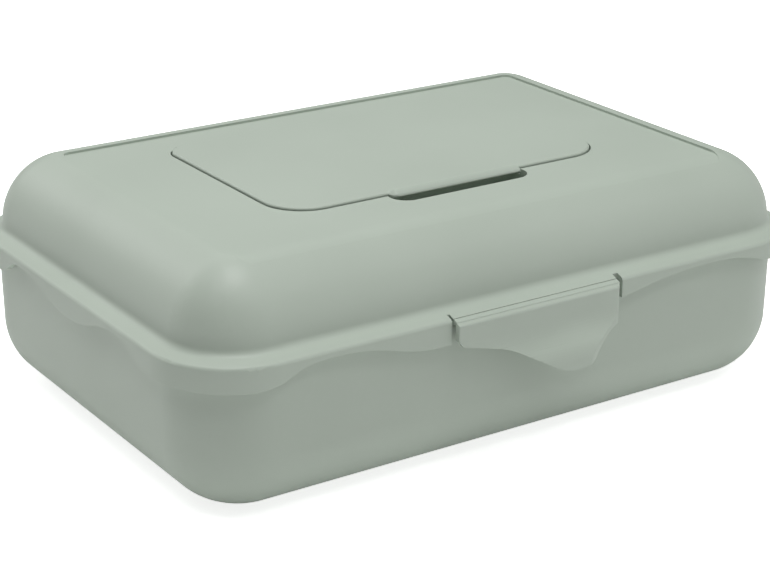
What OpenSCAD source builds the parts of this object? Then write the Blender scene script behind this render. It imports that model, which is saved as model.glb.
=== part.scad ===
// Countertop wipes dispenser: a tub with a clip-down domed lid and a flip-up flap.
// Millimetres. +X runs along the long front, +Y to the back, +Z up; the origin is the
// centre of the tub's base. A section is drawn in the plane "outward, up", where outward
// is the distance from the centre line of the tub towards the front, back or side.

/* [Box] */
// Length of the lid over its skirt
box_length = 220; // [180:1:260]
// Depth of the lid over its skirt
box_depth = 155.8; // [130:1:190]
// Plan radius of the skirt's corners
corner_radius = 26; // [24:0.5:34]
// Thickness of the tub's and lid's walls
wall = 1.8; // [1.4:0.1:2.2]

/* [Tub] */
// Height of the tub's rim above the surface it stands on
tub_height = 47.35; // [44:0.5:70]
// How far the skirt stands out from the foot of the tub's wall
skirt_overhang = 4.1; // [3.9:0.1:4.6]
// Plan radius of the tub's corners
tub_corner_radius = 23.2; // [22.5:0.1:24]
// Radius of the turn from the base into the walls
base_radius = 21; // [12:0.5:22]
// Draft of the tub's walls, in degrees
tub_draft = 0.7; // [0:0.1:0.9]

/* [Lid] */
// Height of the skirt's outer face at its deepest
skirt_depth = 6.4; // [5:0.1:9]
// Rise of the waves in the skirt's lower edge
wave_rise = 5.3; // [2:0.1:5.5]
// Height of the skirt's top edge above the tub's rim
edge_lift = 1.05; // [0.9:0.05:1.4]
// Rounding of the skirt's top edge
edge_round = 1.3; // [0.8:0.1:1.6]
// Slope of the ledge round the dome, in degrees
ledge_slope = 20; // [16:1:22]
// Fillet where the ledge meets the dome
foot_fillet = 2.4; // [1.5:0.1:3]
// Radius of the dome's shoulder
dome_radius = 21.7; // [20:0.1:24]
// Distance of the shoulder's centre in from the skirt's face
dome_inset = 27.1; // [26.8:0.1:28.5]
// Height of the shoulder's centre above the skirt's top edge
dome_lift = 3.5; // [3:0.1:6]
// How much the shoulder's arc is cut off flat at the crest
crest_flat = 0.36; // [0.2:0.02:0.6]
// Depth of the flat top below the crest
top_drop = 0.74; // [0.4:0.02:1]
// Width of the rim left round the flat top
top_rim = 24.8; // [24:0.1:25.6]
// Distance of the flat top's back edge in from the skirt's back face
top_back = 25.2; // [24:0.1:26]
// Radius of the flat top's back corners
top_corner = 2.5; // [2:0.5:9]
// Radius of the flat top's front corners
top_front_corner = 9.5; // [6:0.5:12]
// Radius that rounds the flat top over into the shoulder at the front
top_roll = 15; // [10:0.5:18]

/* [Flap] */
// Length of the flap along the box
flap_length = 115.4; // [100:0.2:130]
// Place of the flap's centre to the right of the middle
flap_x = 1.4; // [-2:0.1:2]
// Distance of the flap's front edge ahead of the middle
flap_front = 34.6; // [30:0.1:36]
// Distance of the flap's hinge line behind the middle
flap_hinge_y = 39.8; // [36:0.1:42]
// Plan radius of the flap's front corners
flap_corner = 13; // [8:0.5:18]
// Plan radius of the flap's back corners
flap_back_corner = 7; // [2.5:0.5:8]
// Height of the flap's top above the flat top
flap_proud = 0.8; // [0.6:0.1:1.3]
// Depth of the flap's seat below the flat top
seat_drop = 1.6; // [1.4:0.1:2]
// Gap between the flap's edge and its seat's wall
flap_gap = 0.5; // [0.4:0.05:0.8]

/* [Finger lip] */
// Length of the lip along the flap's front edge
lip_length = 46.8; // [36:0.2:56]
// Reach of the lip ahead of the flap's front edge
lip_reach = 2.7; // [2.4:0.1:4]
// Rise of the lip's edge above the flap's top
lip_rise = 0.8; // [0.5:0.1:1.2]
// Length of the finger pocket
pocket_length = 48.2; // [48:0.2:60]
// Reach of the pocket ahead of the lip
pocket_reach = 4.9; // [4:0.1:5.6]
// Depth of the pocket below the flat top
pocket_depth = 6; // [5:0.5:8]

/* [Mouth] */
// Length of the opening under the flap
mouth_length = 80; // [60:1:86]
// Width of the opening under the flap
mouth_width = 34; // [28:1:38]
// Place of the mouth's centre behind the middle
mouth_y = 2; // [0:0.5:3]
// Length of the dispensing slot
slot_length = 62; // [40:1:66]
// Width of the dispensing slot
slot_width = 7; // [5:0.5:9]
// Thickness of the soft insert's edge
insert_edge = 1.5; // [1:0.1:2]
// Thickness of the frame that holds the insert
frame_thickness = 1.7; // [1.4:0.1:2.4]
// Height of the flap's seal
flap_seal_height = 1.4; // [1:0.1:1.6]
// Thickness of the lid's seal
lid_seal_thickness = 1.1; // [0.8:0.1:1.4]

/* [Latch] */
// Width of the latch
latch_width = 58; // [44:1:58]
// How far the latch's middle lies right of the box's middle
latch_x = 0.5; // [0:0.1:1]
// Width of the slot at the latch's left side
latch_slot = 0.8; // [0.6:0.1:2]
// Width of the slot at the latch's right side, which is wider for a thumb
thumb_slot = 1.9; // [0.8:0.1:3]
// Distance of the latch's face ahead of the skirt's face
latch_proud = 2.3; // [2:0.1:2.8]
// Thickness of the latch
latch_thickness = 1.7; // [1.3:0.1:1.9]
// Thickness of the strip between the two hinge lines
strip_thickness = 1.1; // [0.9:0.05:1.2]
// Distance between the two hinge lines
strip_run = 2.1; // [2:0.05:2.4]
// How far the thumb lobe reaches below the skirt
lobe_drop = 14.6; // [13:0.2:16]
// How far the lobe stands out from the latch's face
lobe_flare = 4; // [2:0.1:6]
// Place of the lobe's tip to the right of the middle
lobe_x = 10.5; // [9:0.1:12]
// Length of the straight bit at the lobe's tip
lobe_flat = 2.5; // [1:0.1:4]
// Radius of the tip on the left, where it is large
lobe_radius = 14; // [12:0.5:15]
// Radius of the tip on the right, where it is small
lobe_right_radius = 6; // [5:0.5:7]
// Radius of the hollow between the lobe and the latch's right edge
lobe_hollow = 16.5; // [14:0.5:18]

/* [Rear hinge] */
// Distance of each hinge from the middle
hinge_x = 62; // [40:1:64]
// Distance of the hinge axis behind the skirt's face
hinge_out = 3.9; // [3.8:0.1:5]
// Distance of the hinge axis below the tub's rim
hinge_below = 3.85; // [3.8:0.05:4.5]
// Radius of the hinge's ears and lug
hinge_radius = 3.4; // [3:0.1:3.4]
// Radius of a hinge pin
hinge_pin_radius = 1.5; // [1:0.1:1.6]
// Width of the lid's lug between the ears
lug_width = 15.4; // [10:0.2:20]
// Thickness of one ear
ear_thickness = 4; // [3:0.2:6]

/* [Clearances] */
// Radial running clearance of a pin
pin_clearance = 0.06; // [0.03:0.01:0.1]
// Radial gap of a pin in the seat that holds it
pin_seat = 0.01; // [0:0.01:0.02]
// Gap between the lid's seal and the tub's rim
seal_gap = 0.15; // [0.1:0.05:0.3]
// Gap at each end of a hinge
hinge_end_gap = 0.3; // [0.2:0.05:0.5]
// Gap at each hinge line of the latch
fold_gap = 0.1; // [0.08:0.01:0.15]
// Gap between the tub's catch and the latch's bead
catch_gap = 0.2; // [0.15:0.05:0.4]
// Fit of the mouth's pieces in their ring
mouth_gap = 0.1; // [0.05:0.05:0.2]

/* [Hidden] */
$fn = 96;

// Corner centres of the lid and of the tub, shared by every ring that follows them
lid_x = box_length / 2 - corner_radius;
lid_y = box_depth / 2 - corner_radius;
tub_x = box_length / 2 - skirt_overhang - tub_corner_radius;
tub_y = box_depth / 2 - skirt_overhang - tub_corner_radius;
far = box_length;
overlap = 0.3;

// Tub wall: the face leans out by the draft, and the base turn touches floor and face
face = box_depth / 2;
tub_face = face - skirt_overhang;
base_centre = tub_corner_radius - base_radius * (1 - sin(tub_draft)) / cos(tub_draft);
rim_out = tub_face + tub_height * tan(tub_draft);
rim_in = rim_out - wall;

// Heights of the lid
skirt_top = tub_height + edge_lift;
skirt_low = skirt_top - skirt_depth;
seal_ceiling = tub_height + seal_gap + lid_seal_thickness;
dome_z = skirt_top + dome_lift;
crest_z = dome_z + dome_radius - crest_flat;
top_z = crest_z - top_drop;

// Ledge: a line at ledge_slope that leaves the skirt's rounded edge
ledge_out = face - edge_round + edge_round * sin(ledge_slope);
ledge_z = skirt_top + edge_round * cos(ledge_slope);
slope_normal = [sin(ledge_slope), cos(ledge_slope)];
function ledge_at(out) = ledge_z + (ledge_out - out) * tan(ledge_slope);

// Flap and its hinge line: the flap's back edge is round and turns in a hollow of the lid
seat_z = top_z - seat_drop;
flap_z = seat_z + flap_gap;
flap_top = top_z + flap_proud;
flap_nose = (flap_top - flap_z) / 2;
flap_axis_z = flap_top - flap_nose;
flap_hinge_half = flap_length / 2 - flap_back_corner;
pocket_front = flap_front + lip_reach + pocket_reach;
pocket_back = flap_front - flap_gap - 3;
pocket_z = top_z - pocket_depth;

// Mouth pieces hang under the seat, inside a ring
under_seat = seat_z - wall;
insert_rim = 3;
insert_z = under_seat - insert_edge;
frame_z = insert_z - frame_thickness;
ring_wall = 1.5;
snap = 0.3;
flap_seal_rim = 5.5;
flap_seal_width = 2;
flap_seal_z = seat_z + 0.1;

// Latch: hinge lines on the ledge's slope carried on past the skirt
fold = strip_thickness / 2;
fold_1_out = face - 0.8;
fold_2_out = fold_1_out + strip_run;
latch_face = face + latch_proud;
latch_back = latch_face - latch_thickness;
axis_1 = fold_axis(fold_1_out, 1);
axis_2 = fold_axis(fold_2_out, -1);
fold_range = 50;
lobe_top = skirt_low + 1;
lobe_tip = skirt_low - lobe_drop;
function fold_axis(out, way) =
    [out + way * (fold + fold_gap / 2) * cos(ledge_slope) - fold * sin(ledge_slope),
     ledge_at(out) - way * (fold + fold_gap / 2) * sin(ledge_slope) - fold * cos(ledge_slope)];

// Catch on the tub and bead on the latch
catch_out = latch_back - 0.9;
catch_z = skirt_low + 0.6;
catch_half = 22;
bead_out = catch_out + catch_gap;
bead_left = 15;

// Rear hinge
axis_out = face + hinge_out;
axis_z = tub_height - hinge_below;
hinge_half = lug_width / 2 + hinge_end_gap + ear_thickness;

plastic = "#B3BEB2";
soft = "#8E978D";
steel = "#B9BDC0";

// ---- helpers -------------------------------------------------------------------------

// Sweeps a section, drawn outward from a corner centre, round a rounded rectangle
module swept(x, y) {
    for (turn = [0:3]) {
        a = turn % 2 == 0 ? x : y;
        b = turn % 2 == 0 ? y : x;
        rotate(turn * 90) {
            translate([a, b, 0]) rotate_extrude(angle = 90) children();
            translate([a, b, 0]) rotate([90, 0, 0]) linear_extrude(2 * b) children();
        }
    }
}

// Section drawn from a ring's corner centre, for outlines given by distance from the middle
module from_middle(y) {
    translate([-y, 0]) children();
}

// Extrudes a section of the front, drawn outward and up, across a span of the length
module front_bar(x0, x1) {
    translate([x0, 0, 0]) rotate([90, 0, 90]) linear_extrude(x1 - x0) mirror([1, 0]) children();
}

// The same for the back
module back_bar(x0, x1) {
    translate([x0, 0, 0]) rotate([90, 0, 90]) linear_extrude(x1 - x0) children();
}

// Area under an edge that climbs by h over the run l in two arcs
module climb(l, h, below) {
    r = (l * l + h * h) / (4 * h);
    difference() {
        translate([0, -below]) square([l / 2, below + h / 2]);
        translate([0, r]) circle(r);
    }
    translate([l / 2, -below]) square([l / 2, below + h / 2]);
    intersection() {
        translate([l / 2, h / 2]) square([l / 2, h / 2]);
        translate([l, h - r]) circle(r);
    }
}

// Area under a wave that climbs from a to b, stays up to c and falls to d
module wave(a, b, c, d, h, below) {
    translate([a, 0]) climb(b - a, h, below);
    translate([b, -below]) square([c - b, below + h]);
    translate([d, 0]) mirror([1, 0]) climb(d - c, h, below);
}

// Rectangle with its own radius at the front and at the back corners
module panel(x, front, back, r_front, r_back) {
    union() {
        translate([-x, -front + r_front]) square([2 * x, front + back - r_front - r_back]);
        translate([-x + r_front, -front]) square([2 * (x - r_front), r_front + 1]);
        translate([-x + r_back, back - r_back - 1]) square([2 * (x - r_back), r_back + 1]);
        for (s = [-1, 1]) {
            translate([s * (x - r_front), -front + r_front]) circle(r_front);
            translate([s * (x - r_back), back - r_back]) circle(r_back);
        }
    }
}

// Long opening with round ends
module stadium(l, w) {
    for (s = [-1, 1]) translate([s * (l - w) / 2, 0]) circle(w / 2);
    square([l - w, w], center = true);
}

module slab(z0, z1) {
    translate([0, 0, z0]) linear_extrude(z1 - z0) children();
}

module quadrant() {
    intersection() {
        children();
        square([far, far]);
    }
}

// ---- tub -----------------------------------------------------------------------------

// Half section of the tub from a corner centre, drawn t inside its outer face
module tub_fill(t, top) {
    face_at = tub_corner_radius - t / cos(tub_draft);
    quadrant() union() {
        translate([base_centre, base_radius]) circle(base_radius - t);
        polygon([
            [0, t],
            [base_centre, t],
            [base_centre, base_radius],
            [base_centre + (base_radius - t) * cos(tub_draft),
             base_radius - (base_radius - t) * sin(tub_draft)],
            [face_at + top * tan(tub_draft), top],
            [0, top]
        ]);
    }
}

module hinge_ears() {
    for (side = [-1, 1], way = [-1, 1]) {
        x = side * hinge_x + way * (hinge_half - ear_thickness / 2) - ear_thickness / 2;
        back_bar(x, x + ear_thickness) union() {
            translate([axis_out, axis_z]) circle(hinge_radius);
            translate([rim_out - wall / 2, axis_z - hinge_radius])
                square([axis_out - rim_out + wall / 2, 2 * hinge_radius]);
        }
    }
}

module tub() {
    color(plastic) difference() {
        union() {
            swept(tub_x, tub_y) difference() {
                tub_fill(0, tub_height);
                tub_fill(wall, tub_height + 1);
            }
            translate([-tub_x, -tub_y, 0]) cube([2 * tub_x, 2 * tub_y, wall]);
            hinge_ears();
            front_bar(-catch_half, catch_half) polygon([
                [rim_out - wall / 2, catch_z - 0.4],
                [catch_out, catch_z],
                [catch_out, catch_z + 0.8],
                [catch_out - 1.6, catch_z + 2.2],
                [rim_out - wall / 2, catch_z + 2.6]
            ]);
        }
        for (side = [-1, 1])
            translate([side * hinge_x, axis_out, axis_z]) rotate([0, 90, 0])
                cylinder(h = 2 * hinge_half + 2, r = hinge_pin_radius + pin_seat, center = true);
    }
}

// ---- lid -----------------------------------------------------------------------------

// Half section of the lid from a corner centre, drawn t inside its outer face
module lid_fill(t, low, top) {
    n = slope_normal;
    along = [cos(ledge_slope), -sin(ledge_slope)];
    dome = [corner_radius - dome_inset, dome_z];
    edge = [ledge_out - lid_y, ledge_z] - t * n;
    rise = n * (edge - dome) + foot_fillet + t;
    run = sqrt(pow(dome_radius + foot_fillet, 2) - rise * rise);
    fillet = dome + rise * n + run * along;
    foot = fillet - (foot_fillet + t) * n;
    outer = corner_radius - t;
    round_t = max(edge_round - t, 0);
    corner = [outer, edge[1] - (outer - edge[0]) * tan(ledge_slope)];
    intersection() {
        union() {
            // dome
            intersection() {
                translate(dome) circle(dome_radius - t);
                translate([0, dome[1]]) square([far, far]);
            }
            // body under the dome and the ledge, with the fillet scooped out between them
            difference() {
                polygon([[0, low], [foot[0], low], foot, fillet, dome, [0, dome[1]]]);
                translate(fillet) circle(foot_fillet + t);
            }
            if (round_t > 0) {
                polygon([[foot[0], low], [outer, low], [outer, skirt_top],
                         [outer - round_t, skirt_top], edge, foot]);
                translate([outer - round_t, skirt_top]) circle(round_t);
            } else
                polygon([[foot[0], low], [outer, low], corner, foot]);
        }
        translate([0, low]) square([far, top - low]);
    }
}

// Seal channel and plug lip, drawn outward from the middle of the depth
module channel() {
    lip_out = rim_in - 0.5;
    polygon([
        [lip_out - 1.1, tub_height - 1.9],
        [lip_out, tub_height - 1.9],
        [lip_out, seal_ceiling],
        [rim_out + 0.6, seal_ceiling],
        [rim_out + 0.6, tub_height + 0.25],
        [face - wall / 2, tub_height + 0.25],
        [face - wall / 2, skirt_top + 0.4],
        [rim_out, seal_ceiling + 0.9],
        [lip_out, seal_ceiling + 2.4],
        [lip_out - 1.1, dome_z + 1]
    ]);
}

// Room for the seal, over the tub's rim
module seal_room() {
    translate([rim_in - 0.5, tub_height - 1])
        square([rim_out - rim_in + 1.1, seal_ceiling - tub_height + 1]);
}

// Waves of the skirt's lower edge, measured from the skirt's deepest line
module skirt_waves() {
    fx = box_length / 2;
    deep = skirt_overhang + 0.6;
    // front left, then back left and right
    for (place = [[-1, 1], [-1, -1], [1, -1]])
        scale_y(place[1]) translate([0, -face - 1, skirt_low]) rotate([90, 0, 0])
            mirror([0, 0, 1]) linear_extrude(deep)
                mirror([place[0] < 0 ? 1 : 0, 0])
                    wave(latch_width / 2 + 2.5, fx - 44, fx - 40, fx - 18, wave_rise, 2);
    // front right: one long wave from behind the latch into the corner
    difference() {
        translate([0, -face - 1, skirt_low]) rotate([90, 0, 0])
            mirror([0, 0, 1]) linear_extrude(corner_radius)
                wave(12, fx - 44, fx - 42, fx - 8, wave_rise, 2);
        slab(-1, far) panel(fx - deep, face - deep, face - deep,
                            corner_radius - deep, corner_radius - deep);
    }
    // short sides
    for (side = [-1, 1], way = [-1, 1])
        translate([side * (fx - 1.5), 0, skirt_low]) rotate([90, 0, 90])
            linear_extrude(6, center = true)
                mirror([way < 0 ? 1 : 0, 0])
                    wave(1, face - 48, face - 45, face - 30, wave_rise, 2);
}

module scale_y(way) {
    mirror([0, way > 0 ? 0 : 1, 0]) children();
}

// Room for the latch strip at one end, opened by its swing
module fold_cut(axis, direction, swing) {
    r = fold + fold_gap;
    translate(axis) {
        circle(r);
        for (turn = [0, swing])
            rotate(direction + turn) translate([0, -r]) square([8, 2 * r]);
    }
}

// Under the flat top: seat plate, pocket walls and the mouth's ring
module seat_walls() {
    reach = flap_gap + wall;
    slab(under_seat, top_z - 0.1)
        panel(flap_length / 2 + reach, flap_front + reach, flap_hinge_y + reach,
              flap_corner, flap_back_corner);
    slab(pocket_z - wall, top_z - 0.1)
        translate([0, -(pocket_front + pocket_back) / 2])
            stadium(pocket_length + 2 * wall, pocket_front - pocket_back + 2 * wall);
    slab(frame_z - 0.7, under_seat + overlap) translate([0, mouth_y])
        stadium(mouth_length + 2 * (insert_rim + mouth_gap + ring_wall),
                mouth_width + 2 * (insert_rim + mouth_gap + ring_wall));
}

// Room for the flap, its lip and its hinge line, and for the pieces of the mouth
module seat_room() {
    hollow = flap_nose + fold_gap;
    // runs on until the rounded corner is half a millimetre ahead of the hinge line
    run_out = sqrt(flap_back_corner - 0.25);
    slab(seat_z, far)
        panel(flap_length / 2 + flap_gap, flap_front + flap_gap, flap_hinge_y + flap_gap,
              flap_corner + flap_gap, flap_back_corner + flap_gap);
    slab(pocket_z, far) translate([0, -(pocket_front + pocket_back) / 2])
        stadium(pocket_length, pocket_front - pocket_back);
    back_bar(-flap_hinge_half - run_out, flap_hinge_half + run_out)
        translate([flap_hinge_y, flap_axis_z]) {
            circle(hollow);
            translate([-hollow, 0]) square([2 * hollow, far]);
        }
    slab(0, far) translate([0, mouth_y]) stadium(mouth_length, mouth_width);
    slab(frame_z, under_seat) translate([0, mouth_y])
        stadium(mouth_length + 2 * (insert_rim + mouth_gap),
                mouth_width + 2 * (insert_rim + mouth_gap));
    // narrower at the bottom, to hold the frame
    slab(0, frame_z + overlap) translate([0, mouth_y])
        stadium(mouth_length + 2 * (insert_rim - snap), mouth_width + 2 * (insert_rim - snap));
}

module lid_top() {
    difference() {
        union() {
            // flat top and crest between the corner rings
            translate([-lid_x, -lid_y, top_z - wall])
                cube([2 * lid_x, 2 * lid_y, crest_z - top_z + wall]);
            translate([flap_x, 0, 0]) seat_walls();
        }
        flat_top();
        translate([flap_x, 0, 0]) seat_room();
    }
}

// Everything above the flat top, which at the front rolls over into the dome's shoulder
module flat_top() {
    half = box_length / 2 - top_rim;
    rise = top_z - top_roll - dome_z;
    // the roll crosses the dome a little instead of just touching it
    run = sqrt(pow(dome_radius - top_roll + 0.12, 2) - rise * rise);
    centre = [face - dome_inset + run, top_z - top_roll];
    way = [run, rise] / norm([run, rise]);
    touch = centre[0] + top_roll * way[0];
    intersection() {
        slab(dome_z, far)
            panel(half, touch + 0.1, face - top_back, top_front_corner, top_corner);
        front_bar(-half - 1, half + 1) difference() {
            polygon([
                [-face, top_z],
                centre + [0, top_roll],
                centre,
                centre + (top_roll + 8) * way,
                [centre[0] + 12, far],
                [-face, far]
            ]);
            translate(centre) circle(top_roll);
        }
    }
}

module lid() {
    half = latch_width / 2;
    color(plastic) difference() {
        union() {
            difference() {
                union() {
                    swept(lid_x, lid_y) difference() {
                        lid_fill(0, skirt_low, crest_z);
                        lid_fill(wall, skirt_low - 1, top_z - wall);
                    }
                    swept(tub_x, tub_y) from_middle(tub_y) channel();
                }
                swept(tub_x, tub_y) from_middle(tub_y) seal_room();
                flat_top();
                skirt_waves();
                // room for the tub's ears at the back
                for (side = [-1, 1])
                    back_bar(side * hinge_x - hinge_half - 0.6, side * hinge_x + hinge_half + 0.6)
                        translate([rim_out + 0.7, skirt_low - 1])
                            square([8, axis_z + hinge_radius + 0.5 - skirt_low + 1]);
            }
            lid_top();
            for (side = [-1, 1])
                back_bar(side * hinge_x - lug_width / 2, side * hinge_x + lug_width / 2) union() {
                    translate([axis_out, axis_z]) circle(hinge_radius);
                    polygon([
                        [face - wall, axis_z - 1],
                        [axis_out, axis_z - 1],
                        [axis_out, axis_z + hinge_radius],
                        [face - 0.4, skirt_top + 0.6],
                        [face - wall, skirt_top + 0.6]
                    ]);
                }
        }
        for (side = [-1, 1])
            translate([side * hinge_x, axis_out, axis_z]) rotate([0, 90, 0])
                cylinder(h = lug_width + 2, r = hinge_pin_radius + pin_clearance, center = true);
        // latch opening: everything past the first hinge line, and a slot at each side
        translate([latch_x, 0, 0]) {
            front_bar(-half - latch_slot, half + thumb_slot) union() {
                fold_cut(axis_1, -ledge_slope, fold_range);
                translate([axis_1[0], skirt_low - 1]) square([8, 12]);
                translate([rim_out + 0.7, skirt_low - 1])
                    square([8, ledge_at(fold_1_out) - wall - 0.3 - skirt_low + 1]);
            }
            front_bar(-half - latch_slot, -half) latch_slot_end();
            front_bar(half, half + thumb_slot) latch_slot_end();
        }
    }
}

module latch_slot_end() {
    translate([face - 2.6, skirt_low - 1]) square([8, 12]);
}

// ---- latch ---------------------------------------------------------------------------

module latch_strip() {
    half = latch_width / 2;
    color(plastic) translate([latch_x, 0, 0]) front_bar(-half, half)
        translate((axis_1 + axis_2) / 2) rotate(-ledge_slope)
            stadium(norm(axis_2 - axis_1) + strip_thickness, strip_thickness);
}

// Section of the latch: a plate that swells out into the lobe below the skirt
module latch_section() {
    edge = 1;
    top = ledge_at(latch_face);
    run = lobe_top - lobe_tip;
    difference() {
        union() {
            translate([latch_back, lobe_top]) square([latch_thickness, top - edge - lobe_top]);
            polygon([
                [latch_back, top - edge - 0.1],
                [latch_face - 0.05, top - edge - 0.1],
                [latch_face - edge + edge * sin(ledge_slope), top - edge * (1 - cos(ledge_slope))],
                [latch_back, ledge_at(latch_back)]
            ]);
            intersection() {
                translate([latch_face - edge, top - edge]) circle(edge);
                translate([latch_back, lobe_top]) square([far, far]);
            }
            // outward swell: the area under a climb, turned to run downward
            translate([0, lobe_top]) rotate(-90) difference() {
                translate([0, latch_face]) climb(run, lobe_flare, latch_thickness + 1);
                translate([-1, latch_back]) climb_inner(run + 1, lobe_flare);
            }
        }
        fold_cut(axis_2, 180 - ledge_slope, -fold_range);
    }
}

// The inner side of the swell, drawn past both ends so that it cuts cleanly
module climb_inner(run, h) {
    translate([-1, -far]) square([2, far]);
    translate([1, 0]) climb(run - 1, h, far);
    translate([run, -far]) square([2, far + h]);
}

// Outline of the latch seen from the front. Its lower edge runs down from the left in two
// slopes, turns round the lobe's tip and climbs to the right edge through a hollow.
module latch_outline() {
    half = latch_width / 2;
    easy = 14;
    steep = 29;
    climb_back = 55.5;
    bend_radius = 30;
    corner = 1.5;
    tip_left = [lobe_x, lobe_tip + lobe_radius];
    tip_right = [lobe_x + lobe_flat, lobe_tip + lobe_right_radius];
    on_left = tip_left - lobe_radius * [sin(steep), cos(steep)];
    on_right = tip_right + lobe_right_radius * [sin(climb_back), -cos(climb_back)];
    hollow = on_right + lobe_hollow * [sin(climb_back), -cos(climb_back)];
    bend_x = (on_left[1] + on_left[0] * tan(steep) - skirt_low + half * tan(easy))
        / (tan(steep) - tan(easy));
    bend = [bend_x, skirt_low - (bend_x + half) * tan(easy)];
    reach = bend_radius * tan((steep - easy) / 2);
    bend_start = bend - reach * [cos(easy), -sin(easy)];
    bend_end = bend + reach * [cos(steep), -sin(steep)];
    bend_centre = bend_start - bend_radius * [sin(easy), cos(easy)];
    difference() {
        intersection() {
            union() {
                translate(tip_left) circle(lobe_radius);
                translate(tip_right) circle(lobe_right_radius);
                polygon([
                    [-half, far],
                    [-half, skirt_low + corner],
                    [-half + corner, skirt_low - corner * tan(easy)],
                    bend_start,
                    bend_centre,
                    bend_end,
                    on_left,
                    tip_left,
                    [tip_left[0], lobe_tip],
                    [tip_right[0], lobe_tip],
                    tip_right,
                    on_right,
                    hollow,
                    hollow + [0, lobe_hollow],
                    [far, hollow[1] + lobe_hollow],
                    [far, far]
                ]);
            }
            translate([-half, 0]) square([latch_width, far]);
        }
        translate(bend_centre) circle(bend_radius);
        translate(hollow) circle(lobe_hollow);
    }
}

module latch() {
    color(plastic) union() {
        translate([latch_x, 0, 0]) intersection() {
            front_bar(-latch_width / 2, latch_width / 2) latch_section();
            translate([0, -face + 10, 0]) rotate([90, 0, 0]) linear_extrude(far) latch_outline();
        }
        front_bar(-bead_left, catch_half) polygon([
            [latch_back + 0.5, catch_z - 0.1],
            [bead_out, catch_z - 0.4],
            [bead_out, catch_z - 1.3],
            [latch_back + 0.5, catch_z - 2.3]
        ]);
    }
}

// ---- flap ----------------------------------------------------------------------------

module flap() {
    front = flap_front + lip_reach;
    edge = flap_top + lip_rise;
    color(plastic) translate([flap_x, 0, 0]) difference() {
        union() {
            slab(flap_z, flap_top)
                panel(flap_length / 2, flap_front, flap_hinge_y, flap_corner, flap_back_corner);
            back_bar(-flap_hinge_half, flap_hinge_half) translate([flap_hinge_y, flap_axis_z]) {
                circle(flap_nose);
                translate([-4, -flap_nose]) square([4, 2 * flap_nose]);
            }
            intersection() {
                slab(flap_z - 1, far) panel(lip_length / 2, front, 0, lip_reach - 0.2, 1);
                front_bar(-lip_length / 2, lip_length / 2) polygon([
                    [flap_front - 3, flap_z],
                    [front - 1.4, flap_z + 0.3],
                    [front, flap_z + 1],
                    [front, flap_z + 1.4],
                    [front - 0.4, flap_top - 0.1],
                    [flap_front + 0.6, edge],
                    [flap_front - 0.2, edge - 0.1],
                    [flap_front - 1.4, flap_top],
                    [flap_front - 3, flap_top]
                ]);
            }
        }
        slab(flap_z - 1, flap_seal_z + flap_seal_height) flap_seal_ring();
    }
}

module flap_seal_ring() {
    translate([0, mouth_y]) difference() {
        stadium(mouth_length + 2 * (flap_seal_rim + flap_seal_width),
                mouth_width + 2 * (flap_seal_rim + flap_seal_width));
        stadium(mouth_length + 2 * flap_seal_rim, mouth_width + 2 * flap_seal_rim);
    }
}

module flap_seal() {
    color(soft) translate([flap_x, 0, 0])
        slab(flap_seal_z, flap_seal_z + flap_seal_height) flap_seal_ring();
}

// ---- seals, mouth and rear pins --------------------------------------------------------

module lid_seal() {
    color(soft) swept(tub_x, tub_y) from_middle(tub_y)
        translate([rim_in - 0.4, tub_height + seal_gap])
            square([rim_out - rim_in + 0.9, lid_seal_thickness]);
}

module mouth_insert() {
    color(soft) translate([flap_x, mouth_y, 0]) difference() {
        union() {
            slab(insert_z, under_seat)
                stadium(mouth_length + 2 * insert_rim, mouth_width + 2 * insert_rim);
            slab(insert_z, seat_z)
                stadium(mouth_length - 2 * mouth_gap, mouth_width - 2 * mouth_gap);
        }
        slab(0, far) stadium(slot_length, slot_width);
    }
}

module mouth_frame() {
    color(plastic) translate([flap_x, mouth_y, 0]) difference() {
        slab(frame_z, insert_z)
            stadium(mouth_length + 2 * insert_rim, mouth_width + 2 * insert_rim);
        slab(0, far) stadium(mouth_length - 6, mouth_width - 6);
    }
}

module hinge_pin(side) {
    color(steel) translate([side * hinge_x, axis_out, axis_z]) rotate([0, 90, 0])
        cylinder(h = 2 * hinge_half, r = hinge_pin_radius, center = true);
}
module hinge_pin_left() {
    hinge_pin(-1);
}
module hinge_pin_right() {
    hinge_pin(1);
}

tub();
lid();
latch_strip();
latch();
flap();
hinge_pin_left();
hinge_pin_right();
lid_seal();
flap_seal();
mouth_insert();
mouth_frame();
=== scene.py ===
import math

import bmesh
import bpy
from mathutils import Matrix, Vector


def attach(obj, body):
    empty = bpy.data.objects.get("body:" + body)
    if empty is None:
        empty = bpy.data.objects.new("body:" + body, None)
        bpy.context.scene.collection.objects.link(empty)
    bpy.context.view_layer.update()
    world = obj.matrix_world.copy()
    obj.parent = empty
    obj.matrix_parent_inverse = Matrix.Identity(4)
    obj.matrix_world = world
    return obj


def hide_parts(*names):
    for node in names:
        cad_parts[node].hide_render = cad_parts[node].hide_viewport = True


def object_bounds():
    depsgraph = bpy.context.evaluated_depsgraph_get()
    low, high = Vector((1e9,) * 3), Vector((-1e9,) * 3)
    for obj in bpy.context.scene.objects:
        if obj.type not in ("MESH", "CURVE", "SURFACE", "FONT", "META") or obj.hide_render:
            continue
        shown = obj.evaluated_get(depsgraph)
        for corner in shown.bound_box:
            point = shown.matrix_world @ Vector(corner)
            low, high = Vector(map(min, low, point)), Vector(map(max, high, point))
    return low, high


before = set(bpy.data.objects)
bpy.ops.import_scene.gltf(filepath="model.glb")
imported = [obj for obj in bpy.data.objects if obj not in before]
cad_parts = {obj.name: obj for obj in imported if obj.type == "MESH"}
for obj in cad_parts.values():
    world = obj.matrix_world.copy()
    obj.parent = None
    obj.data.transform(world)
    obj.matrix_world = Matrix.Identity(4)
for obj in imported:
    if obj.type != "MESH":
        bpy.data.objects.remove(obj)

cadBox = [list(corner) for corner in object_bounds()]
mm = 0.001


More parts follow.
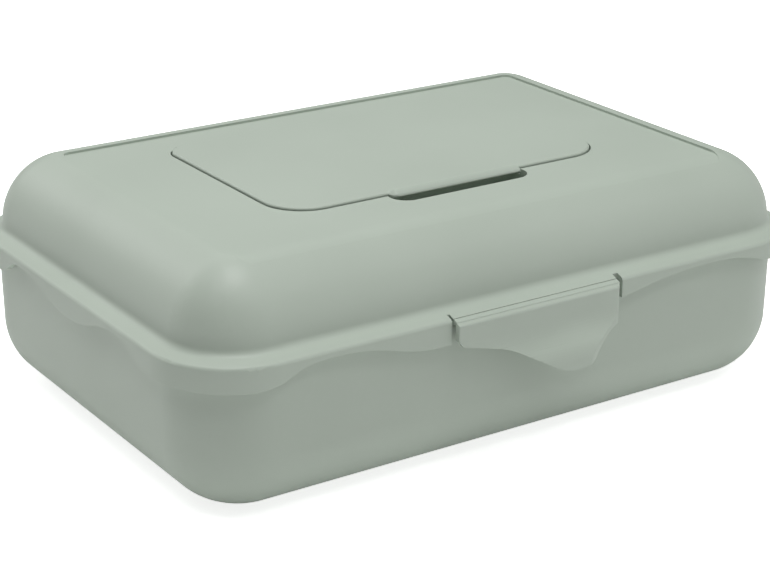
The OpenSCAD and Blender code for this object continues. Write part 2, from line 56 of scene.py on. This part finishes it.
# ---- shared tools
def linear(hexColour):
    channels = [int(hexColour[i:i + 2], 16) / 255 for i in (1, 3, 5)]
    return [c / 12.92 if c <= 0.04045 else ((c + 0.055) / 1.055) ** 2.4 for c in channels] + [1.0]


def addNode(owner, kind, settings=None, links=None):
    # one node of a material or the world: properties and sockets from settings, inputs from links
    tree = owner.node_tree
    node = tree.nodes.new(kind)
    for name, value in (settings or {}).items():
        if isinstance(name, str) and hasattr(node, name) and name not in node.inputs:
            setattr(node, name, value)
        else:
            node.inputs[name].default_value = value
    for name, source in (links or {}).items():
        tree.links.new(source, node.inputs[name])
    return node


def newMaterial(name):
    material = bpy.data.materials.new(name)
    material.use_nodes = True
    material.node_tree.nodes.clear()
    return material


# ---- materials
# Polypropylene moulded in a spark-eroded steel mould: a soft even sheen broken by a fine pitted grain
sageShell = {
    "colour": "#B3BEB2",
    "lighter": "#B5C0B4",
    "darker": "#B0BBAF",
    "roughness": 0.48,
    "roughnessSpread": 0.05,
    "ior": 1.49,
    "grainSize": 0.35,      # mm, pit spacing, some three times the real one so that it shows
    "grainHeight": 0.006,   # mm
    "driftSize": 60,        # mm, slow change of tone where the melt cooled at its own pace
}


def sparkErodedPolypropylene(name, spec):
    material = newMaterial(name)
    place = addNode(material, "ShaderNodeTexCoord")
    pits = addNode(material, "ShaderNodeTexNoise",
                   {"Scale": 1 / (spec["grainSize"] * mm), "Detail": 3.0, "Roughness": 0.55},
                   {"Vector": place.outputs["Object"]})
    drift = addNode(material, "ShaderNodeTexNoise",
                    {"Scale": 1 / (spec["driftSize"] * mm), "Detail": 2.0, "Roughness": 0.5},
                    {"Vector": place.outputs["Object"]})
    tone = addNode(material, "ShaderNodeValToRGB", None, {"Fac": drift.outputs["Fac"]})
    ramp = tone.color_ramp
    ramp.elements.new(0.5)
    for element, position, shade in zip(ramp.elements, (0.25, 0.5, 0.75), ("darker", "colour", "lighter")):
        element.position = position
        element.color = linear(spec[shade])
    sheen = addNode(material, "ShaderNodeMapRange",
                    {"To Min": spec["roughness"] - spec["roughnessSpread"],
                     "To Max": spec["roughness"] + spec["roughnessSpread"]},
                    {"Value": pits.outputs["Fac"]})
    bump = addNode(material, "ShaderNodeBump",
                   {"Strength": 0.5, "Distance": spec["grainHeight"] * mm},
                   {"Height": pits.outputs["Fac"]})
    surface = addNode(material, "ShaderNodeBsdfPrincipled", {"IOR": spec["ior"]},
                      {"Base Color": tone.outputs["Color"], "Roughness": sheen.outputs["Result"],
                       "Normal": bump.outputs["Normal"]})
    addNode(material, "ShaderNodeOutputMaterial", None, {"Surface": surface.outputs["BSDF"]})
    return material


shellFinish = sparkErodedPolypropylene("spark eroded polypropylene", sageShell)

# The same polypropylene from a plainly polished cavity, for the ring that nobody sees in use
ringShell = dict(sageShell, roughness=0.36, grainSize=0.8, grainHeight=0.003)
ringFinish = sparkErodedPolypropylene("polished polypropylene", ringShell)

# Thermoplastic elastomer as injected for seals: dull, slightly see-through, faintly mottled
softSeal = {
    "colour": "#C6CBC5",
    "darker": "#B9BFB8",
    "roughness": 0.64,
    "ior": 1.48,
    "mottleSize": 1.4,      # mm
    "skinHeight": 0.01,     # mm
    "depth": 0.6,           # mm that light travels inside
    "milkiness": 0.15,      # share of the light that does
}


def injectedElastomer(name, spec):
    material = newMaterial(name)
    place = addNode(material, "ShaderNodeTexCoord")
    mottle = addNode(material, "ShaderNodeTexVoronoi",
                     {"feature": "SMOOTH_F1", "Scale": 1 / (spec["mottleSize"] * mm), "Smoothness": 1.0},
                     {"Vector": place.outputs["Object"]})
    tone = addNode(material, "ShaderNodeValToRGB", None, {"Fac": mottle.outputs["Distance"]})
    tone.color_ramp.elements[0].color = linear(spec["darker"])
    tone.color_ramp.elements[1].color = linear(spec["colour"])
    bump = addNode(material, "ShaderNodeBump",
                   {"Strength": 0.4, "Distance": spec["skinHeight"] * mm},
                   {"Height": mottle.outputs["Distance"]})
    surface = addNode(material, "ShaderNodeBsdfPrincipled",
                      {"Roughness": spec["roughness"], "IOR": spec["ior"],
                       "Subsurface Weight": spec["milkiness"], "Subsurface Scale": spec["depth"] * mm},
                      {"Base Color": tone.outputs["Color"], "Normal": bump.outputs["Normal"]})
    addNode(material, "ShaderNodeOutputMaterial", None, {"Surface": surface.outputs["BSDF"]})
    return material


sealFinish = injectedElastomer("injected elastomer", softSeal)

# Stainless steel wire drawn through a die: bright, with fine marks along its length. The marks are drawn
# some ten times coarser than real ones, which would be too fine to show
pinWire = {
    "colour": "#C2C5C8",
    "smoothest": 0.22,
    "roughest": 0.42,
    "markSize": 0.12,       # mm across the marks
    "markLength": 25,       # mm along them
    "markHeight": 0.003,    # mm
}


def drawnSteel(name, spec):
    material = newMaterial(name)
    place = addNode(material, "ShaderNodeTexCoord")
    across = 1 / (spec["markSize"] * mm)
    drawn = addNode(material, "ShaderNodeMapping",
                    {"Scale": (1 / (spec["markLength"] * mm), across, across)},
                    {"Vector": place.outputs["Object"]})
    marks = addNode(material, "ShaderNodeTexNoise", {"Scale": 1.0, "Detail": 4.0},
                    {"Vector": drawn.outputs["Vector"]})
    sheen = addNode(material, "ShaderNodeMapRange",
                    {"To Min": spec["smoothest"], "To Max": spec["roughest"]},
                    {"Value": marks.outputs["Fac"]})
    bump = addNode(material, "ShaderNodeBump",
                   {"Strength": 0.3, "Distance": spec["markHeight"] * mm},
                   {"Height": marks.outputs["Fac"]})
    surface = addNode(material, "ShaderNodeBsdfPrincipled",
                      {"Base Color": linear(spec["colour"]), "Metallic": 1.0},
                      {"Roughness": sheen.outputs["Result"], "Normal": bump.outputs["Normal"]})
    addNode(material, "ShaderNodeOutputMaterial", None, {"Surface": surface.outputs["BSDF"]})
    return material


pinFinish = drawnSteel("drawn stainless steel", pinWire)


# ---- pieces
def piece(name, mesh, body, node, finish):
    # puts a finished mesh in the scene in place of a CAD node
    made = bpy.data.objects.new(name, mesh)
    bpy.context.scene.collection.objects.link(made)
    mesh.materials.append(finish)
    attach(made, body)
    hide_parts(node)
    return made


def oneSkin(node):
    # a copy of a CAD node's triangles, merged into one skin with its flat areas whole again
    bm = bmesh.new()
    bm.from_mesh(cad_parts[node].data)
    bmesh.ops.remove_doubles(bm, verts=bm.verts, dist=2e-6)
    bmesh.ops.dissolve_limit(bm, angle_limit=math.radians(0.25), verts=bm.verts, edges=bm.edges)
    return bm


def breakEdges(bm, spec, chosen=None):
    # rounds the edges that a mould leaves slightly soft, all of them or the chosen ones
    limit = math.radians(spec["sharpest"])
    picked = [e for e in bm.edges if e.is_manifold and e.calc_face_angle(0) > limit
              and (chosen is None or chosen(e))]
    bmesh.ops.bevel(bm, geom=picked, offset=spec["radius"] * mm, offset_type="OFFSET",
                    segments=spec["segments"], profile=0.5, affect="EDGES", clamp_overlap=True, material=-1)


def finished(bm, name, crease=38):
    # a mesh shaded smooth over its curves, crisp at its creases, flat on its flat areas
    for face in bm.faces:
        face.smooth = True
    limit = math.radians(crease)
    for edge in bm.edges:
        if not edge.is_manifold or edge.calc_face_angle(0) > limit:
            edge.smooth = False
    mesh = bpy.data.meshes.new(name)
    bm.to_mesh(mesh)
    bm.free()
    return mesh


def evenNormals(made):
    even = made.modifiers.new("even normals", "WEIGHTED_NORMAL")
    even.mode = "FACE_AREA_WITH_ANGLE"
    even.weight = 80
    even.keep_sharp = True


# how soft the mould leaves each shell: the radius in mm on every edge that turns more than sharpest degrees
shellEdges = {
    "tub": {"radius": 0.25, "sharpest": 28, "segments": 2},
    "lid": {"radius": 0.25, "sharpest": 28, "segments": 2},
    "latch_strip": {"radius": 0.1, "sharpest": 28, "segments": 1},
}
# the lower edge of the lid's skirt is rounder than that at the front and the sides
skirtEdge = {
    "radius": 0.8,          # mm, as are the next five
    "halfLength": 110,
    "halfDepth": 77.9,
    "corner": 26,
    "nearFace": 0.2,        # an edge this near the skirt's face counts
    "backTo": 60,
    "sharpest": 50,         # degrees
    "segments": 4,
}


def onSkirtEdge(edge):
    # true where the skirt's outer face meets its underside
    if len(edge.link_faces) != 2:
        return False
    under, outer = sorted(edge.link_faces, key=lambda face: face.normal.z)
    if under.normal.z >= -0.6 or abs(outer.normal.z) >= 0.3:
        return False
    middle = (edge.verts[0].co + edge.verts[1].co) / 2 / mm
    across = max(abs(middle.x) - skirtEdge["halfLength"] + skirtEdge["corner"], 0)
    along = max(abs(middle.y) - skirtEdge["halfDepth"] + skirtEdge["corner"], 0)
    onFace = math.hypot(across, along) > skirtEdge["corner"] - skirtEdge["nearFace"]
    return onFace and middle.y < skirtEdge["backTo"]


for node, spec in shellEdges.items():
    bm = oneSkin(node)
    if node == "lid":
        bm.normal_update()
        breakEdges(bm, skirtEdge, onSkirtEdge)
    breakEdges(bm, spec)
    made = piece(node + "_shell", finished(bm, node), node, node, shellFinish)
    evenNormals(made)
    print(node, "edges broken")


# ---- latch: its upright edges rounded, its right side drawn in toward the front, and a soft swell
# in the lobe where the thumb rests
latchShape = {
    "face": -80.2,          # mm from the box's middle, as are left and right
    "left": -28.5,
    "leftRadius": 0.7,
    "right": 28.6,
    "rightRadius": 0.9,
    "rightLean": 20,        # degrees that the right side leans inward toward the front
    "swell": {"x": 12.0, "z": 34.4, "wide": 6.5, "high": 3.5, "rise": 0.65},
    "columns": {"count": 25, "step": 1.3},      # upright cuts over the lobe
    "rows": {"count": 17, "step": 0.85},        # level ones
    "edge": {"radius": 0.3, "sharpest": 50, "segments": 2},
}


def everyPart(bm):
    return bm.verts[:] + bm.edges[:] + bm.faces[:]


def sliceAway(bm, place, direction):
    # cuts off what lies beyond an upright plane and closes the cut
    bmesh.ops.bisect_plane(bm, geom=everyPart(bm), dist=1e-7, plane_co=Vector(place) * mm,
                           plane_no=Vector(direction), clear_outer=True)
    bmesh.ops.holes_fill(bm, edges=[e for e in bm.edges if e.is_boundary], sides=0)


def roundUpright(bm, side, x, face, radius, lean):
    # rounds an upright edge by three slices; side is 1 at the right and -1 at the left
    inward = radius * (1 - math.sin(lean)) / math.cos(lean)
    middle = Vector((x - side * inward, face + radius, 0))
    for share in (0.25, 0.5, 0.75):
        turn = (math.pi / 2 - lean) * share
        way = Vector((side * math.sin(turn), -math.cos(turn), 0))
        sliceAway(bm, middle + way * radius, way)


def cutAcross(bm, direction, middle, cuts):
    # parallel cuts that leave the shape as it is and give the swell points to lift
    for k in range(cuts["count"]):
        place = middle + (k - cuts["count"] // 2) * cuts["step"]
        bmesh.ops.bisect_plane(bm, geom=everyPart(bm), dist=1e-7, plane_co=Vector(direction) * place * mm,
                               plane_no=direction)


def swellLobe(bm, face, swell):
    # lifts the lobe's front softly, as far as the CAD model reaches
    bm.normal_update()
    for vert in {v for f in bm.faces if f.normal.y < -0.6 for v in f.verts}:
        if vert.co.y / mm < face + 0.3:
            across = (vert.co.x / mm - swell["x"]) / swell["wide"]
            up = (vert.co.z / mm - swell["z"]) / swell["high"]
            rise = swell["rise"] * mm * math.exp(-0.5 * (across ** 2 + up ** 2))
            vert.co.y = max(vert.co.y - rise, cadBox[0][1])


def latchMesh(spec):
    bm = oneSkin("latch")
    face, right, lean = spec["face"], spec["right"], math.radians(spec["rightLean"])
    sliceAway(bm, (right, face, 0), (math.cos(lean), -math.sin(lean), 0))
    roundUpright(bm, 1, right, face, spec["rightRadius"], lean)
    roundUpright(bm, -1, spec["left"], face, spec["leftRadius"], 0)
    cutAcross(bm, (1, 0, 0), spec["swell"]["x"], spec["columns"])
    cutAcross(bm, (0, 0, 1), spec["swell"]["z"], spec["rows"])
    swellLobe(bm, face, spec["swell"])
    breakEdges(bm, spec["edge"])
    return finished(bm, "latch", crease=42)


latchPiece = piece("latch_shell", latchMesh(latchShape), "latch", "latch", shellFinish)
evenNormals(latchPiece)
print("latch made")


# ---- flap: a plate with a soft upper edge, a finger lip in front and a round hinge edge behind
flapShape = {
    "middle": 1.4,          # mm from the box's middle, as are front and back
    "half": 57.7,           # half its length
    "front": 34.6,
    "back": 39.8,
    "frontCorner": 13.0,
    "backCorner": 7.0,
    "under": 71.4,          # height of the underside
    "top": 73.3,            # height of the top face
    "softEdge": 0.65,       # radius of the upper edge
    "lipFrom": -23.4,       # from the flap's middle
    "lipTo": 23.4,
    "lipReach": 2.68,
    "lipRise": 0.78,
    "lipEnd": {"left": 2.5, "right": 1.2},  # length over which each end runs out
    "lipCut": 0.25,         # spacing of the cuts at the lip's ends
    "hingeRunOut": 1.8,     # length over which the round hinge edge ends
    "sides": (-12, 10),     # cuts along the straight sides
    # the groove that holds the flap's seal: its middle, the sizes of its walls, its ceiling's height
    "groove": {"x": 1.4, "y": 2.0, "outer": (95, 49), "inner": (91, 45), "ceiling": 72.4},
}


def arc(x, y, radius, start, end, steps):
    # points and outward directions along an arc, angles in degrees
    run = []
    for k in range(steps + 1):
        turn = math.radians(start + (end - start) * k / steps)
        out = (math.cos(turn), math.sin(turn))
        run.append(((x + radius * out[0], y + radius * out[1]), out))
    return run


def flapOutline(spec):
    # once round the plate, seen from above, with the front edge cut finely at the lip's ends
    x, half = spec["middle"], spec["half"]
    front, back = spec["frontCorner"], spec["backCorner"]
    run = arc(x - half + front, -spec["front"] + front, front, 180, 270, 20)
    cuts = [spec["lipCut"] * k - 0.05 for k in range(14)]
    stops = [spec["lipFrom"] + cut for cut in cuts]
    stops += [-14, -7, 0, 7, 14]
    stops += [spec["lipTo"] - cut for cut in reversed(cuts)]
    run += [((x + stop, -spec["front"]), (0, -1)) for stop in stops]
    run += arc(x + half - front, -spec["front"] + front, front, 270, 360, 20)
    run += [((x + half, y), (1, 0)) for y in spec["sides"]]
    run += arc(x + half - back, spec["back"] - back, back, 0, 90, 14)
    steps = (0.6, 1.2, 1.8, 2.4, 30)
    run += [((x + half - back - step, spec["back"]), (0, 1)) for step in steps]
    run += [((x - half + back + step, spec["back"]), (0, 1)) for step in reversed(steps)]
    run += arc(x - half + back, spec["back"] - back, back, 90, 180, 14)
    run += [((x - half, y), (-1, 0)) for y in reversed(spec["sides"])]
    return run


def plainEdge(spec):
    # a section from the top face down to the underside: distance outward from the outline, and height
    soft, top, under = spec["softEdge"], spec["top"], spec["under"]
    bend = [math.radians(90 - 15 * k) for k in range(7)]
    upper = [(-soft + soft * math.cos(t), top - soft + soft * math.sin(t)) for t in bend]
    return upper + [(0, under + 0.45), (0, under + 0.2), (-0.06, under + 0.06), (-0.2, under)]


def lipEdge(spec):
    # the finger lip: up to its crest, round its nose and back beneath, in as many points as the plain edge
    reach, top, under = spec["lipReach"], spec["top"], spec["under"]
    crest = top + spec["lipRise"]
    return [(-1.4, top), (-0.75, top + 0.42), (-0.1, crest - 0.1), (0.55, crest), (1.25, crest - 0.3),
            (reach - 0.5, top - 0.02), (reach - 0.1, top - 0.42), (reach, under + 1.15),
            (reach - 0.12, under + 1.0), (reach - 1.5, under + 0.28), (-0.2, under)]


def hingeEdge(spec):
    # the round edge that turns in the lid's hollow
    radius = (spec["top"] - spec["under"]) / 2
    return [(radius * math.sin(t), spec["under"] + radius + radius * math.cos(t))
            for t in (math.radians(18 * k) for k in range(11))]


def smooth(t):
    t = min(1, max(0, t))
    return t * t * (3 - 2 * t)


def between(first, second, across, up):
    # a section part of the way from one to another
    return [(p[0] + (q[0] - p[0]) * across, p[1] + (q[1] - p[1]) * up) for p, q in zip(first, second)]


def edgeHere(spec, place, out):
    # the edge's section at one point of the outline
    plain = plainEdge(spec)
    x = place[0] - spec["middle"]
    if out[1] < -0.999 and spec["lipFrom"] < x < spec["lipTo"]:
        ends = spec["lipEnd"]
        inward = min((x - spec["lipFrom"]) / ends["left"], (spec["lipTo"] - x) / ends["right"])
        # round in plan, and a softer rise in height
        wide = math.sqrt(1 - (1 - min(1, inward)) ** 2)
        return between(plain, lipEdge(spec), wide, smooth(inward * 1.3))
    if out[1] > 0.999:
        share = smooth((spec["half"] - spec["backCorner"] - abs(x)) / spec["hingeRunOut"])
        return between(plain, hingeEdge(spec), share, share)
    return plain


def stadiumLoop(bm, x, y, size, z, steps=24):
    # a level loop with round ends
    radius = size[1] / 2
    reach = size[0] / 2 - radius
    run = arc(x + reach, y, radius, -90, 90, steps) + arc(x - reach, y, radius, 90, 270, steps)
    return [bm.verts.new((place[0] * mm, place[1] * mm, z * mm)) for place, out in run]


def closedEdges(bm, loop):
    # the edges of a loop of points, made where they are missing
    return [bm.edges.get((a, b)) or bm.edges.new((a, b)) for a, b in zip(loop, loop[1:] + loop[:1])]


def wallBetween(bm, first, second):
    # four-sided faces from one loop to the next
    for k in range(len(first)):
        after = (k + 1) % len(first)
        bm.faces.new((first[k], first[after], second[after], second[k]))


def flapMesh(spec):
    bm = bmesh.new()
    rings = []
    for place, out in flapOutline(spec):
        rings.append([bm.verts.new(((place[0] + out[0] * o) * mm, (place[1] + out[1] * o) * mm, z * mm))
                      for o, z in edgeHere(spec, place, out)])
    levels = [list(level) for level in zip(*rings)]
    for above, below in zip(levels, levels[1:]):
        wallBetween(bm, above, below)
    bm.faces.new(levels[0])
    # the underside with its groove
    groove = spec["groove"]
    walls = {}
    for side in ("outer", "inner"):
        walls[side] = [stadiumLoop(bm, groove["x"], groove["y"], groove[side], z)
                       for z in (spec["under"], groove["ceiling"])]
        wallBetween(bm, walls[side][0], walls[side][1])
    for one, two in ((levels[-1], walls["outer"][0]), (walls["outer"][1], walls["inner"][1])):
        rim = closedEdges(bm, one) + closedEdges(bm, two)
        bmesh.ops.triangle_fill(bm, use_beauty=True, use_dissolve=False, edges=rim, normal=(0, 0, -1))
    bm.faces.new(walls["inner"][0])
    bmesh.ops.recalc_face_normals(bm, faces=bm.faces)
    return finished(bm, "flap", crease=50)


flapPiece = piece("flap_plate", flapMesh(flapShape), "flap", "flap", shellFinish)
evenNormals(flapPiece)
print("flap made")

# the plain small parts keep their exact shape and take the real material
carried = {
    "hinge_pin_left": pinFinish,
    "hinge_pin_right": pinFinish,
    "lid_seal": sealFinish,
    "flap_seal": sealFinish,
    "mouth_insert": sealFinish,
    "mouth_frame": ringFinish,
}
for node, finish in carried.items():
    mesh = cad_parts[node].data
    mesh.materials.clear()
    mesh.materials.append(finish)
print("pieces made")


# ---- studio
studio = {
    "floorColour": "#F4F4F4",
    "floorHalf": 6,         # m
    "floorLift": 0.75,      # added for the camera alone, so that the lit floor reads as white
    "floorBounce": 0.12,    # fill from below, as a white sweep gives back
    "ambient": 0.005,
    "backdrop": 1.0,        # white, for the camera alone
}
white = (1, 1, 1, 1)


def whiteSweep(spec):
    finish = newMaterial("white sweep")
    rays = addNode(finish, "ShaderNodeLightPath")
    matt = addNode(finish, "ShaderNodeBsdfDiffuse", {"Color": linear(spec["floorColour"])})
    lift = addNode(finish, "ShaderNodeEmission", {"Color": white, "Strength": spec["floorLift"]})
    bounce = addNode(finish, "ShaderNodeEmission", {"Color": white, "Strength": spec["floorBounce"]})
    seen = addNode(finish, "ShaderNodeAddShader", None,
                   {0: matt.outputs["BSDF"], 1: lift.outputs["Emission"]})
    given = addNode(finish, "ShaderNodeAddShader", None,
                    {0: matt.outputs["BSDF"], 1: bounce.outputs["Emission"]})
    both = addNode(finish, "ShaderNodeMixShader", None,
                   {0: rays.outputs["Is Camera Ray"], 1: given.outputs["Shader"],
                    2: seen.outputs["Shader"]})
    addNode(finish, "ShaderNodeOutputMaterial", None, {"Surface": both.outputs["Shader"]})
    return finish


floorMesh = bpy.data.meshes.new("studioFloor")
bm = bmesh.new()
bmesh.ops.create_grid(bm, x_segments=1, y_segments=1, size=studio["floorHalf"])
bm.to_mesh(floorMesh)
bm.free()
floorMesh.materials.append(whiteSweep(studio))
studioFloor = bpy.data.objects.new("studioFloor", floorMesh)
bpy.context.scene.collection.objects.link(studioFloor)

world = bpy.data.worlds.new("studio")
bpy.context.scene.world = world
world.use_nodes = True
world.node_tree.nodes.clear()
rays = addNode(world, "ShaderNodeLightPath")
around = addNode(world, "ShaderNodeBackground", {"Color": white, "Strength": studio["ambient"]})
behind = addNode(world, "ShaderNodeBackground", {"Color": white, "Strength": studio["backdrop"]})
sky = addNode(world, "ShaderNodeMixShader", None,
              {0: rays.outputs["Is Camera Ray"], 1: around.outputs["Background"],
               2: behind.outputs["Background"]})
addNode(world, "ShaderNodeOutputWorld", None, {"Surface": sky.outputs["Shader"]})


# each lamp: its place and size in metres, and its power in watts. All face the object's middle
objectMiddle = Vector((0, 0, 0.04))
lamps = {
    "overhead": {"place": (0, 0, 1.6), "size": (1.6, 1.6), "power": 4.35},
    "overheadSpot": {"place": (0, -0.1, 1.5), "size": (0.35, 0.35), "power": 8.85},
    "overheadBack": {"place": (0.2, 1.2, 1.2), "size": (1.6, 1.0), "power": 5.05},
    "leftBack": {"place": (-1.0, 1.2, 0.5), "size": (1.2, 0.8), "power": 2.5},
    "leftBackHigh": {"place": (-0.5, 1.2, 0.75), "size": (0.5, 0.5), "power": 2.7},
    "right": {"place": (1.5, -0.1, 0.5), "size": (1.2, 0.8), "power": 1.85},
    "rightFront": {"place": (0.9, -1.3, 0.5), "size": (1.2, 0.8), "power": 2.6},
    "rightFrontSpot": {"place": (0.8, -0.7, 1.15), "size": (0.35, 0.35), "power": 1.85},
    "frontSpot": {"place": (0, -0.9, 1.25), "size": (0.35, 0.35), "power": 2.15},
    "corner": {"place": (-0.62, -0.19, 1.44), "size": (0.5, 0.5), "power": 3.4},
}


def softbox(name, place, size, power):
    data = bpy.data.lights.new(name, "AREA")
    data.shape = "RECTANGLE"
    data.size, data.size_y = size
    data.energy = power
    lamp = bpy.data.objects.new(name, data)
    lamp.location = place
    lamp.rotation_euler = (objectMiddle - Vector(place)).to_track_quat("-Z", "Y").to_euler()
    bpy.context.scene.collection.objects.link(lamp)


for name, spec in lamps.items():
    softbox(name, **spec)
print("studio lit")

# ---- camera: where the photograph was taken from, in mm and degrees
view = {"place": (-338.3, -513.8, 264.2), "yaw": 33.33, "pitch": 21.04, "roll": 0.05, "lens": 97.2}
cameraData = bpy.data.cameras.new("photographer")
cameraData.lens = view["lens"]
cameraData.sensor_width = 36
camera = bpy.data.objects.new("photographer", cameraData)
camera.matrix_world = (Matrix.Translation(Vector(view["place"]) * mm)
                       @ Matrix.Rotation(math.radians(-view["yaw"]), 4, "Z")
                       @ Matrix.Rotation(math.radians(90 - view["pitch"]), 4, "X")
                       @ Matrix.Rotation(math.radians(view["roll"]), 4, "Z"))
bpy.context.scene.collection.objects.link(camera)
bpy.context.scene.camera = camera
bpy.context.scene.view_settings.view_transform = "Standard"
